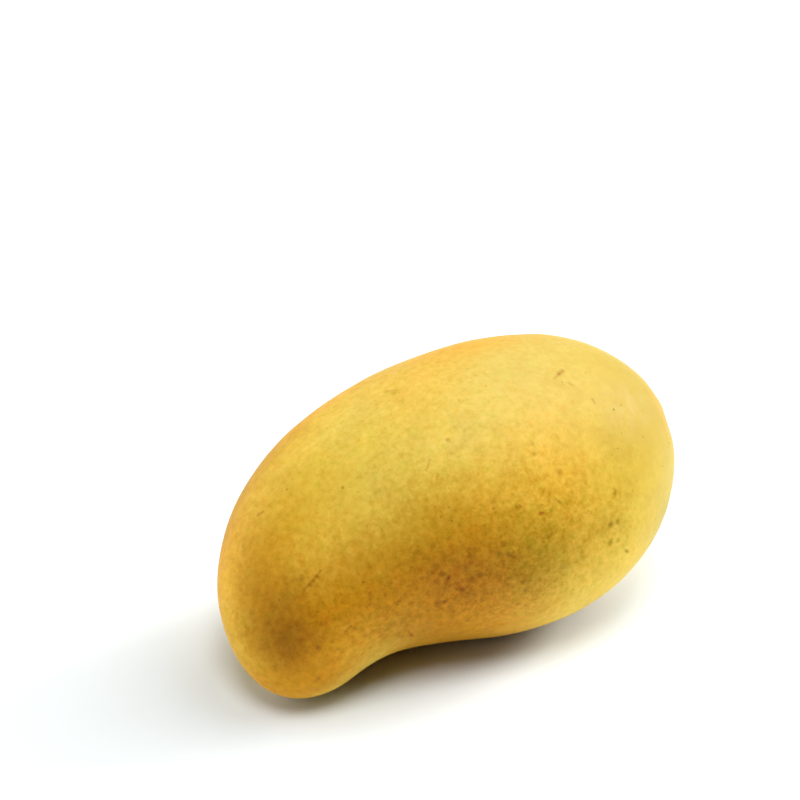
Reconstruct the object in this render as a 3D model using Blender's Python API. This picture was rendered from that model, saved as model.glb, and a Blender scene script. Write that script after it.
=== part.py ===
"""A ripe mango lying on its flank, with the dry stub of its stem.

The fruit is first shaped upright in its own frame: the stem pole is at the origin, the spine runs
towards -X, the back edge is +Y, the belly edge is -Y and the two cheeks are +Z and -Z.
It is then turned to lie as a loose mango does, and set on the floor at z = 0.
"""

import math

import bmesh
import bpy
import numpy as np

# The spine is the middle line of the fruit, from the stem (0) to the tip (1).
SPINE_LENGTH = 0.1205
BEND_AT = (0.0, 0.35, 0.70, 1.0)
BEND_DEG = (0.0, -4.0, 18.5, 60.0)  # how far the spine has turned towards the belly edge there

# Half widths of the sections across the spine, at these fractions of it.
STATIONS = (0.04, 0.16, 0.34, 0.54, 0.74, 0.92)
BACK_HALF = (0.0150, 0.0280, 0.0340, 0.0350, 0.0315, 0.0180)
BELLY_HALF = (0.0155, 0.0295, 0.0355, 0.0325, 0.0230, 0.0130)
CHEEK_HALF = (0.0135, 0.0250, 0.0305, 0.0295, 0.0235, 0.0135)

# The back of the stem end stands further out than its belly side.
SHOULDER_LEAN = math.tan(math.radians(6.0))
SHOULDER_REACH = 0.15

# The fruit lies rolled towards one cheek with its nose down, on a small flat spot.
ROLL_DEG = 38.0
NOSE_DOWN_DEG = 9.8
FLAT_DEPTH = 0.0011

# The stem sits in a shallow basin with a raised lip, in a round pocket of the flesh.
BASIN_DEPTH = 0.0014
BASIN_RADIUS = 0.0062
LIP_HEIGHT = 0.0007
LIP_RADIUS = 0.0046
LIP_WIDTH = 0.0012
POCKET_RADIUS = 0.00345
POCKET_DEPTH = 0.0042
ROUND_REACH = 0.0140  # the sections are circles at the pocket and ovals from this radius on

# The stub is lobed, and broken off just above the basin.
STUB_GAP = 0.0003
STUB_RADIUS = POCKET_RADIUS - STUB_GAP
STUB_TOP = 0.0002
STUB_LOBES = 7
LOBE_DEPTH = 0.07
STUB_PROFILE = (  # fraction of the stub's height, fraction of its radius
    (0.00, 0.88),
    (0.10, 1.00),
    (0.72, 1.00),
    (0.90, 0.93),
    (1.00, 0.74),
    (0.98, 0.40),
)
STUB_DIMPLE = 0.92  # height of the middle of its broken face, as a fraction

# How finely the round shapes are divided.
SPINE_STEPS = 800
SKIN_SIDES = 64
BASIN_RINGS = 11
BASIN_ZONE = 0.0105
SKIN_RINGS = 44
STUB_SIDES = 40

SKIN_COLOR = (0.730, 0.456, 0.055, 1.0)
SKIN_ROUGHNESS = 0.48
WOOD_COLOR = (0.045, 0.026, 0.014, 1.0)
WOOD_ROUGHNESS = 0.90


def clear_scene():
    """Removes whatever the file held before."""
    for old in list(bpy.data.objects):
        bpy.data.objects.remove(old, do_unlink=True)


def smooth_step(low, high, value):
    """Rises smoothly from 0 at low to 1 at high."""
    share = np.clip((value - low) / (high - low), 0.0, 1.0)
    return share * share * (3.0 - 2.0 * share)


def half_width(stations, angle):
    """Half width at each angle from the stem pole, 0, to the tip, pi.

    It is the sine of the angle, which rounds both ends, times a short cosine series that passes
    through the given stations.
    """
    station_angle = np.arccos(1.0 - 2.0 * np.array(STATIONS))
    waves = np.arange(len(STATIONS))
    fullness = np.array(stations) / np.sin(station_angle)
    terms = np.linalg.solve(np.cos(np.outer(station_angle, waves)), fullness)
    return np.cos(np.outer(angle, waves)) @ terms * np.sin(angle)


def spine(angle):
    """The spine's x, y and bend at each angle. The bend is a cubic through its given values."""
    steps = np.linspace(0.0, 1.0, SPINE_STEPS + 1)
    terms = np.linalg.solve(np.vander(BEND_AT), np.radians(BEND_DEG))
    bend = np.polyval(terms, steps)
    middle = (bend[1:] + bend[:-1]) / 2.0
    step = SPINE_LENGTH / SPINE_STEPS
    x = -np.concatenate([[0.0], np.cumsum(np.cos(middle))]) * step
    y = -np.concatenate([[0.0], np.cumsum(np.sin(middle))]) * step
    along = (1.0 - np.cos(angle)) / 2.0
    return [np.interp(along, steps, values) for values in (x, y, bend)]


def mean_radius(angle):
    """Radius of the circle that stands for a section near the stem."""
    back, belly, cheek = (half_width(w, angle) for w in (BACK_HALF, BELLY_HALF, CHEEK_HALF))
    return (back + belly + 2.0 * cheek) / 4.0


def basin_height(radius):
    """How far the skin is raised or sunk round the stem."""
    sunk = BASIN_DEPTH * np.exp(-((radius / BASIN_RADIUS) ** 2))
    raised = LIP_HEIGHT * np.exp(-(((radius - LIP_RADIUS) / LIP_WIDTH) ** 2))
    return raised - sunk


def skin_rings(angle):
    """One ring of points for each angle, in the fruit's own frame."""
    x, y, bend = (values[:, None] for values in spine(angle))
    radius = mean_radius(angle)[:, None]
    stem_half = angle[:, None] < math.pi / 2.0
    roundness = stem_half * (1.0 - smooth_step(POCKET_RADIUS, ROUND_REACH, radius))
    around = np.linspace(0.0, 2.0 * math.pi, SKIN_SIDES, endpoint=False)
    widths = []
    for stations in (BACK_HALF, BELLY_HALF, CHEEK_HALF):
        oval = half_width(stations, angle)[:, None]
        widths.append(oval + (radius - oval) * roundness)
    back, belly, cheek = widths
    across = np.where(np.cos(around) >= 0.0, back, belly) * np.cos(around)
    side = cheek * np.sin(around)
    along = (1.0 - np.cos(angle))[:, None] / 2.0
    lean = SHOULDER_LEAN * np.exp(-along / SHOULDER_REACH) * across
    out = x - across * np.sin(bend) + lean + stem_half * basin_height(radius)
    return np.stack([out, y + across * np.cos(bend), side], axis=-1)


def stem_point(height, radius, around):
    """Points at a height above the stem pole, in the fruit's own frame, leaning as its shoulder does."""
    across = radius * np.cos(around)
    side = radius * np.sin(around)
    return np.stack([height + SHOULDER_LEAN * across, across, side], axis=-1)


def fruit_rings():
    """Rings of the fruit from the floor of its stem pocket over the lip and down to the tip."""
    fine = np.linspace(0.0, math.pi / 4.0, 200)
    zone = np.linspace(POCKET_RADIUS, BASIN_ZONE, BASIN_RINGS)
    basin = np.interp(zone, mean_radius(fine), fine)
    body = np.linspace(basin[-1], math.pi, SKIN_RINGS + 1)[1:-1]
    rings = skin_rings(np.concatenate([basin, body]))
    around = np.linspace(0.0, 2.0 * math.pi, SKIN_SIDES, endpoint=False)
    floor = stem_point(-POCKET_DEPTH, POCKET_RADIUS, around)
    return [floor, *rings]


def tip_point():
    """The point where the spine ends, at the fruit's nose."""
    x, y, _ = spine(np.array([math.pi]))
    return np.array([x[0], y[0], 0.0])


def stub_rings():
    """Rings of the stem stub from its foot in the pocket to its broken face."""
    around = np.linspace(0.0, 2.0 * math.pi, STUB_SIDES, endpoint=False)
    lobes = 1.0 - LOBE_DEPTH * (1.0 - np.cos(STUB_LOBES * around)) / 2.0
    rings = []
    for rise, share in STUB_PROFILE:
        rings.append(stem_point(stub_height(rise), STUB_RADIUS * share * lobes, around))
    return rings


def stub_height(rise):
    """Height above the stem pole of a fraction of the stub."""
    foot = STUB_GAP - POCKET_DEPTH
    return foot + rise * (STUB_TOP - foot)


def lay_down(points):
    """Rolls points about the fruit's length, then tips its nose down."""
    roll, tip = math.radians(ROLL_DEG), math.radians(NOSE_DOWN_DEG)
    x, y, z = np.moveaxis(np.asarray(points, dtype=float), -1, 0)
    y, z = y * math.cos(roll) - z * math.sin(roll), y * math.sin(roll) + z * math.cos(roll)
    x, z = x * math.cos(tip) - z * math.sin(tip), x * math.sin(tip) + z * math.cos(tip)
    return np.stack([x, y, z], axis=-1)


def rest_offset(fruit, stub):
    """Move that brings the box's middle over the origin and the flat spot to z = 0."""
    points = np.concatenate([*fruit, *stub])
    low, high = points.min(axis=0), points.max(axis=0)
    return -np.array([(low[0] + high[0]) / 2.0, (low[1] + high[1]) / 2.0, low[2] + FLAT_DEPTH])


def ring_mesh(name, rings, first_centre, last_centre):
    """Closes a stack of rings into one solid, with a fan at each end."""
    shape = bmesh.new()
    loops = [[shape.verts.new(point) for point in ring] for ring in rings]
    for lower, upper in zip(loops, loops[1:]):
        for k, corner in enumerate(lower):
            after = (k + 1) % len(lower)
            shape.faces.new((corner, lower[after], upper[after], upper[k]))
    for loop, centre in ((loops[0], first_centre), (loops[-1], last_centre)):
        hub = shape.verts.new(centre)
        for k, corner in enumerate(loop):
            shape.faces.new((corner, loop[(k + 1) % len(loop)], hub))
    bmesh.ops.recalc_face_normals(shape, faces=shape.faces)
    mesh = bpy.data.meshes.new(name)
    shape.to_mesh(mesh)
    shape.free()
    return mesh


def add_piece(name, mesh, material):
    """Puts a mesh in the scene as one smooth piece of one material."""
    mesh.materials.append(material)
    mesh.shade_smooth()
    mesh.set_sharp_from_angle(angle=math.radians(50.0))
    piece = bpy.data.objects.new(name, mesh)
    bpy.context.scene.collection.objects.link(piece)
    return piece


def plain_material(name, color, roughness):
    """A Principled material with one colour and roughness."""
    material = bpy.data.materials.new(name)
    material.use_nodes = True
    shader = material.node_tree.nodes["Principled BSDF"]
    shader.inputs["Base Color"].default_value = color
    shader.inputs["Roughness"].default_value = roughness
    shader.inputs["Metallic"].default_value = 0.0
    material.diffuse_color = color
    return material


def build_mango():
    """Shapes the fruit and its stem stub and lays them on the floor."""
    fruit = [lay_down(ring) for ring in fruit_rings()]
    stub = [lay_down(ring) for ring in stub_rings()]
    offset = rest_offset(fruit, stub)

    def placed(points):
        """Points on the floor, pressed flat where the fruit rests."""
        moved = points + offset
        moved[..., 2] = np.maximum(moved[..., 2], 0.0)
        return moved

    pocket_floor = placed(lay_down([-POCKET_DEPTH, 0.0, 0.0]))
    nose = placed(lay_down(tip_point()))
    mesh = ring_mesh("mango_fruit", [placed(ring) for ring in fruit], pocket_floor, nose)
    add_piece("mango_fruit", mesh, plain_material("mango_skin", SKIN_COLOR, SKIN_ROUGHNESS))

    foot = placed(lay_down([stub_height(0.0), 0.0, 0.0]))
    dimple = placed(lay_down([stub_height(STUB_DIMPLE), 0.0, 0.0]))
    mesh = ring_mesh("stem_stub", [placed(ring) for ring in stub], foot, dimple)
    add_piece("stem_stub", mesh, plain_material("stem_wood", WOOD_COLOR, WOOD_ROUGHNESS))


clear_scene()
build_mango()
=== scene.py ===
import logging
import math
from dataclasses import dataclass
from enum import Enum
from typing import Any, Iterable

import bmesh
import bpy
import numpy as np
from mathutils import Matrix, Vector


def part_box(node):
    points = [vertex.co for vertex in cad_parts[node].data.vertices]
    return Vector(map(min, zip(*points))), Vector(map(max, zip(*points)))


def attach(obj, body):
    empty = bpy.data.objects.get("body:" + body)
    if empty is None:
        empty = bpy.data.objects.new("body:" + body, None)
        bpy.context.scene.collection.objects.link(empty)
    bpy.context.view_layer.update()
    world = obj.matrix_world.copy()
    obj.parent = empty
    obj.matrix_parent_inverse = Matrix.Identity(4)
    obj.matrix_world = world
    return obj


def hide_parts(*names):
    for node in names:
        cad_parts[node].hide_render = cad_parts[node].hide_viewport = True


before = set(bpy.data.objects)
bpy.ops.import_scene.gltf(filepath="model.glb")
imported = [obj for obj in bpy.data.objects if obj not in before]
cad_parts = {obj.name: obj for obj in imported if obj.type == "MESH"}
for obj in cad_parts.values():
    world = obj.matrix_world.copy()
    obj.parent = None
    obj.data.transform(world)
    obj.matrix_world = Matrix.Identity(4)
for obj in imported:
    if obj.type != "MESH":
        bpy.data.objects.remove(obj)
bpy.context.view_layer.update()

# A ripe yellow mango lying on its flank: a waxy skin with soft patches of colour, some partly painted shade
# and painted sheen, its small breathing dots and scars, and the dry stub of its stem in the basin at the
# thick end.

LOG = logging.getLogger("mango")
MILLIMETRE = 0.001
TINY_AREA = 1e-12
Rgb = tuple[float, float, float]
Triple = tuple[float, float, float]


class Tint(Enum):
    """The skin's few colours, as linear red, green and blue."""

    GOLD = (0.980, 0.703, 0.109)
    PALE = (0.420, 0.330, 0.091)
    AMBER = (0.710, 0.305, 0.004)
    OCHRE = (0.467, 0.209, 0.004)
    OLIVE = (0.571, 0.273, 0.004)
    GREEN = (0.341, 0.219, 0.004)
    UMBER = (0.073, 0.004, 0.004)
    RUSSET = (0.380, 0.132, 0.006)
    BLUSH = (0.820, 0.300, 0.040)
    CORK = (0.120, 0.048, 0.020)


class Axis(Enum):
    """The three directions of the frame."""

    X = 0
    Y = 1
    Z = 2


@dataclass(frozen=True)
class FruitFrame:
    """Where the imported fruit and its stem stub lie.

    Args:
        low: the lowest corner of the fruit's box.
        high: the highest corner of the fruit's box.
        stem: the middle of the stem stub.
    """

    low: Vector
    high: Vector
    stem: Vector

    @classmethod
    def from_nodes(cls, fruit: str, stem: str) -> "FruitFrame":
        """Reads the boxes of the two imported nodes.

        Args:
            fruit: the name of the fruit's node.
            stem: the name of the stem stub's node.

        Returns:
            The frame of the fruit.
        """
        low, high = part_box(fruit)
        stem_low, stem_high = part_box(stem)
        return cls(low, high, (stem_low + stem_high) / 2)

    @property
    def length(self) -> float:
        """The fruit's length from nose to stem end."""
        return self.high.x - self.low.x

    def place(self, share: Triple) -> Vector:
        """A point given as shares of the fruit's box, in metres."""
        size = self.high - self.low
        return self.low + Vector(a * b for a, b in zip(share, size))


class Term:
    """A number socket that lays a Math node for each sum, product or power taken of it."""

    def __init__(self, sheet: "NodeSheet", socket: bpy.types.NodeSocket) -> None:
        """Keeps the socket and the sheet that its new nodes go on."""
        self.sheet = sheet
        self.socket = socket

    def _math(self, operation: str, *terms: Any) -> "Term":
        """Lays one Math node.

        Args:
            operation: the Math node's operation.
            terms: its inputs in order, as numbers or terms.

        Returns:
            The node's result.
        """
        node = self.sheet.add("ShaderNodeMath", {"operation": operation}, dict(enumerate(terms)))
        return Term(self.sheet, node.outputs[0])

    def __add__(self, other: Any) -> "Term":
        """This plus other."""
        return self._math("ADD", self, other)

    def __radd__(self, other: Any) -> "Term":
        """Other plus this."""
        return self._math("ADD", other, self)

    def __sub__(self, other: Any) -> "Term":
        """This less other."""
        return self._math("SUBTRACT", self, other)

    def __rsub__(self, other: Any) -> "Term":
        """Other less this."""
        return self._math("SUBTRACT", other, self)

    def __mul__(self, other: Any) -> "Term":
        """This times other."""
        return self._math("MULTIPLY", self, other)

    def __rmul__(self, other: Any) -> "Term":
        """Other times this."""
        return self._math("MULTIPLY", other, self)

    def __truediv__(self, other: Any) -> "Term":
        """This over other."""
        return self._math("DIVIDE", self, other)

    def __rtruediv__(self, other: Any) -> "Term":
        """Other over this."""
        return self._math("DIVIDE", other, self)

    def __pow__(self, other: Any) -> "Term":
        """This to the power of other."""
        return self._math("POWER", self, other)

    def __rpow__(self, other: Any) -> "Term":
        """Other to the power of this."""
        return self._math("POWER", other, self)

    def cosine(self) -> "Term":
        """The cosine of this angle."""
        return self._math("COSINE", self)

    def clamped(self) -> "Term":
        """This kept between 0 and 1."""
        return self._math("MINIMUM", self._math("MAXIMUM", self, 0.0), 1.0)

    def angle_over(self, other: Any) -> "Term":
        """The angle whose tangent is this over other."""
        return self._math("ARCTAN2", self, other)

    def step(self, start: Any, end: Any, low: Any = 0.0, high: Any = 1.0) -> "Term":
        """Eases from low to high as this goes from start to end.

        Args:
            start: the value at which the result is low.
            end: the value at which the result is high.
            low: the result before start.
            high: the result after end.

        Returns:
            The eased value.
        """
        node = self.sheet.add(
            "ShaderNodeMapRange",
            {"interpolation_type": "SMOOTHSTEP", "clamp": True},
            {0: self, 1: start, 2: end, 3: low, 4: high},
        )
        return Term(self.sheet, node.outputs[0])


class NodeSheet:
    """A node tree that is being laid out."""

    MIX_FACTOR, MIX_A, MIX_B, MIX_RESULT = 0, 6, 7, 2

    def __init__(self, tree: bpy.types.NodeTree) -> None:
        """Keeps the tree."""
        self.tree = tree

    def add(
        self,
        kind: str,
        settings: dict[str, Any] | None = None,
        inputs: dict[int | str, Any] | None = None,
    ) -> bpy.types.Node:
        """Lays one node, sets it and joins up its inputs.

        Args:
            kind: the node's type.
            settings: its settings, which may change its sockets.
            inputs: numbers, vectors, sockets or terms, by socket name or place.

        Returns:
            The new node.
        """
        node = self.tree.nodes.new(kind)
        for name, value in (settings or {}).items():
            setattr(node, name, value)
        self.join(node, inputs or {})
        return node

    def join(self, node: bpy.types.Node, inputs: dict[int | str, Any]) -> None:
        """Sets a node's inputs or joins them up.

        Args:
            node: the node.
            inputs: numbers, vectors, sockets or terms, by socket name or place.
        """
        for key, value in inputs.items():
            source = value.socket if isinstance(value, Term) else value
            if isinstance(source, bpy.types.NodeSocket):
                self.tree.links.new(source, node.inputs[key])
            else:
                node.inputs[key].default_value = source

    def term(self, node: bpy.types.Node, output: int | str = 0) -> Term:
        """One of the node's outputs as a number to reckon with."""
        return Term(self, node.outputs[output])

    def vector(self, operation: str, *inputs: Any) -> Term:
        """Lays a Vector Math node and gives its vector."""
        node = self.add("ShaderNodeVectorMath", {"operation": operation}, dict(enumerate(inputs)))
        return Term(self, node.outputs["Vector"])

    def scaled(self, vector: Any, by: Any) -> Term:
        """A vector made longer or shorter."""
        node = self.add("ShaderNodeVectorMath", {"operation": "SCALE"}, {0: vector, "Scale": by})
        return Term(self, node.outputs["Vector"])

    def dot(self, first: Any, second: Any) -> Term:
        """The dot product of two vectors."""
        node = self.add("ShaderNodeVectorMath", {"operation": "DOT_PRODUCT"}, {0: first, 1: second})
        return Term(self, node.outputs["Value"])

    def length(self, vector: Any) -> Term:
        """How long a vector is."""
        node = self.add("ShaderNodeVectorMath", {"operation": "LENGTH"}, {0: vector})
        return Term(self, node.outputs["Value"])

    def part(self, vector: Any, axis: Axis) -> Term:
        """One component of a vector."""
        node = self.add("ShaderNodeSeparateXYZ", None, {0: vector})
        return Term(self, node.outputs[axis.value])

    def noise(self, where: Any, grain: float, detail: float = 2.0, rough: float = 0.5) -> Term:
        """A soft noise, about 0.5 on average.

        Args:
            where: the point, in metres.
            grain: the width of one blot, in metres.
            detail: how many finer layers it has.
            rough: how strong those are.

        Returns:
            The noise.
        """
        node = self.add(
            "ShaderNodeTexNoise",
            {"noise_dimensions": "3D"},
            {"Vector": where, "Scale": 1.0 / grain, "Detail": detail, "Roughness": rough},
        )
        return Term(self, node.outputs[0])

    def cells(self, where: Any, width: float, feature: str = "F1") -> bpy.types.Node:
        """Lays a cell texture.

        Args:
            where: the point, in metres.
            width: the width of one cell, in metres.
            feature: what it measures, by the node's own name.

        Returns:
            The node.
        """
        return self.add(
            "ShaderNodeTexVoronoi",
            {"feature": feature, "voronoi_dimensions": "3D"},
            {"Vector": where, "Scale": 1.0 / width},
        )

    def blend(self, share: Any, under: Any, over: Any, how: str = "MIX") -> Term:
        """Lays one colour over another.

        Args:
            share: how much of the upper one shows.
            under: the lower colour.
            over: the upper colour.
            how: the Mix node's blend type.

        Returns:
            The blended colour.
        """
        node = self.add(
            "ShaderNodeMix",
            {"data_type": "RGBA", "blend_type": how, "clamp_factor": True},
            {self.MIX_FACTOR: share, self.MIX_A: under, self.MIX_B: over},
        )
        return Term(self, node.outputs[self.MIX_RESULT])


def rgba(colour: Tint | Rgb) -> tuple[float, float, float, float]:
    """A colour with full cover, as a colour socket takes it."""
    red, green, blue = colour.value if isinstance(colour, Tint) else colour
    return (red, green, blue, 1.0)


@dataclass(frozen=True)
class Patch:
    """A soft-edged patch of another colour along a short line in the skin.

    Args:
        name: what it is.
        start: one end of its middle line, as shares of the fruit's box.
        end: the other end of that line.
        reach: how far it spreads from the line, in millimetres.
        tint: its colour.
        strength: how much of that colour shows in its middle.
        frayed: how far its edge is broken up, as a share of its reach.
        dotted: how many more dots the skin has in it.
    """

    name: str
    start: Triple
    end: Triple
    reach: float
    tint: Tint | Rgb
    strength: float
    frayed: float = 0.24
    dotted: float = 0.0

    def weight(self, points: np.ndarray, place: FruitFrame) -> np.ndarray:
        """How strongly the patch shows at each point, from 0 to 1.

        Args:
            points: rows of x, y and z in metres.
            place: the fruit's frame.

        Returns:
            One weight a point.
        """
        start = np.array(place.place(self.start))
        run = np.array(place.place(self.end)) - start
        along = np.clip((points - start) @ run / max(float(run @ run), TINY_AREA), 0.0, 1.0)
        away = np.linalg.norm(points - start - along[:, None] * run, axis=1)
        near = np.clip(1.0 - away / (self.reach * MILLIMETRE), 0.0, 1.0)
        return near * near * (3.0 - 2.0 * near)


PATCHES: tuple[Patch, ...] = (
    Patch("far cheek green", (0.30, 0.95, 0.55), (0.62, 1.00, 0.60), 34.0, Tint.GREEN, 0.45, dotted=0.3),
    Patch("far cheek amber", (0.62, 0.98, 0.42), (0.88, 0.86, 0.45), 30.0, Tint.AMBER, 0.60),
    Patch("far nose amber", (0.05, 0.60, 0.30), (0.20, 0.80, 0.35), 24.0, Tint.AMBER, 0.60),
    Patch("underside green", (0.30, 0.45, 0.05), (0.70, 0.45, 0.00), 34.0, Tint.GREEN, 0.50),
    # The darker ochre under the belly is painted shade: it darkens the underside that faces the floor, which
    # also darkens the shadow where the fruit rests.
    Patch("under belly painted shade", (0.26, 0.32, 0.00), (0.74, 0.30, 0.00), 17.0, Tint.OCHRE, 0.90),
    Patch("far cheek olive", (0.36, 0.98, 0.30), (0.50, 0.99, 0.36), 15.0, Tint.OLIVE, 0.60, dotted=0.4),
    Patch("stem end amber", (0.90, 0.83, 0.56), (0.95, 0.52, 0.16), 24.0, Tint.AMBER, 0.50),
    # The pale patches on the stem side and the top are partly the skin's own paler, greener tone and partly
    # painted light: a painted sheen where the rims catch the light, and painted shade that keeps the skin
    # darker where the lamps fall strongest.
    Patch("pale stem side with painted sheen and shade", (0.59, 0.90, 1.05), (1.02, 0.27, 0.66), 30.0, Tint.PALE, 0.99),
    Patch("pale top with painted sheen and shade", (0.48, 0.71, 0.91), (0.66, 0.37, 0.98), 47.5, Tint.PALE, 0.78),
    Patch("middle amber", (0.60, 0.19, 0.58), (0.77, 0.72, 0.61), 30.0, Tint.AMBER, 0.86),
    Patch("top amber", (0.48, 0.60, 0.73), (0.73, 0.89, 0.87), 23.5, Tint.AMBER, 0.98),
    # The dark olive and ochre band along the near side is partly the skin's own colour and partly painted
    # shade, where the skin turns sideways, away from the overhead light and the floor.
    Patch("olive band with painted shade", (0.36, 0.10, 0.77), (0.42, 0.05, 0.77), 18.0, Tint.OLIVE, 0.87, dotted=0.35),
    Patch("low ochre band with painted shade", (0.06, 0.21, 0.38), (0.42, 0.11, 0.53), 19.0, Tint.OCHRE, 0.99, dotted=0.3),
    Patch("high ochre band with painted shade", (0.27, 0.26, 0.53), (0.49, 0.09, 0.49), 20.0, Tint.OCHRE, 0.86, dotted=0.5),
    Patch("russet patch", (0.38, 0.14, 0.37), (0.39, -0.09, 0.36), 21.5, Tint.RUSSET, 0.99, dotted=0.4),
    Patch("green patch", (0.57, 0.03, 0.52), (0.54, 0.28, 0.71), 15.0, Tint.GREEN, 0.55, dotted=0.6),
    Patch("green spot", (0.88, 0.28, 0.81), (0.79, -0.08, 0.72), 32.5, Tint.GREEN, 0.77, dotted=0.4),
    # The nose spot is partly the tip's own darker olive-brown and partly painted shade, where the tip turns
    # away from the overhead light.
    Patch("nose spot with painted shade", (0.03, 0.43, 0.64), (0.07, 0.16, 0.28), 15.0, Tint.UMBER, 0.99, dotted=0.2),
    Patch("nose ring", (0.06, 0.37, 0.27), (0.13, 0.42, 0.81), 21.0, Tint.OLIVE, 0.78),
    Patch("back edge amber", (0.06, 0.71, 0.48), (0.36, 0.97, 0.85), 23.5, Tint.AMBER, 0.99),
    Patch("under nose amber", (0.04, 0.25, 0.11), (0.19, 0.07, 0.24), 13.5, Tint.AMBER, 0.89),
    Patch("belly amber", (0.37, 0.20, 0.28), (0.50, -0.03, 0.17), 21.0, Tint.AMBER, 0.99),
    Patch("belly ochre", (0.18, 0.27, 0.45), (0.54, 0.17, 0.04), 13.5, Tint.OCHRE, 0.78),
    Patch("nose amber", (0.16, 0.27, 0.30), (0.30, 0.24, 0.38), 14.0, Tint.AMBER, 0.96),
    Patch("middle green", (0.13, 0.78, 0.54), (0.32, 0.25, 0.86), 29.0, Tint.GREEN, 0.49),
    # Partly the skin's own paler tone and partly painted sheen and painted shade on the lower rim, like the
    # pale patches above.
    Patch("low pale stem side with painted sheen and shade", (0.89, 0.23, 0.17), (0.88, 0.21, 0.42), 22.0, Tint.PALE, 0.85),
    Patch("stem blush", (0.98, 0.46, 0.60), (0.98, 0.45, 0.56), 18.0, Tint.BLUSH, 0.55),
    Patch("stem russet", (0.98, 0.46, 0.59), (0.98, 0.46, 0.58), 10.0, Tint.RUSSET, 0.75, 0.6),
    Patch("stem crust", (0.98, 0.46, 0.59), (0.98, 0.46, 0.58), 6.5, Tint.CORK, 0.98, 0.8),
)


class Stain(Enum):
    """What a blemish leaves of the skin's red, green and blue in its middle."""

    RUST = (0.60, 0.32, 0.06)
    UMBER = (0.50, 0.38, 0.05)
    MOSS = (0.50, 0.50, 0.05)
    SLATE = (0.56, 0.50, 0.26)


@dataclass(frozen=True)
class Mark:
    """One small scar or blot on the near side of the skin.

    Args:
        place: its middle, as shares of the fruit's box.
        width: its width in millimetres.
        strength: how much of its colour shows.
    """

    place: Triple
    width: float
    strength: float


@dataclass(frozen=True)
class Scratch:
    """One short scratch or scab on the near side of the skin.

    Args:
        start: one end, as shares of the fruit's box.
        end: the other end.
        width: its width in millimetres.
        strength: how much of its colour shows.
    """

    start: Triple
    end: Triple
    width: float
    strength: float


@dataclass(frozen=True)
class Blemishes:
    """The marks and scratches of one colour.

    Args:
        stain: their colour.
        marks: the round ones.
        scratches: the long ones.
    """

    stain: Stain
    marks: tuple[Mark, ...]
    scratches: tuple[Scratch, ...]


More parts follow.
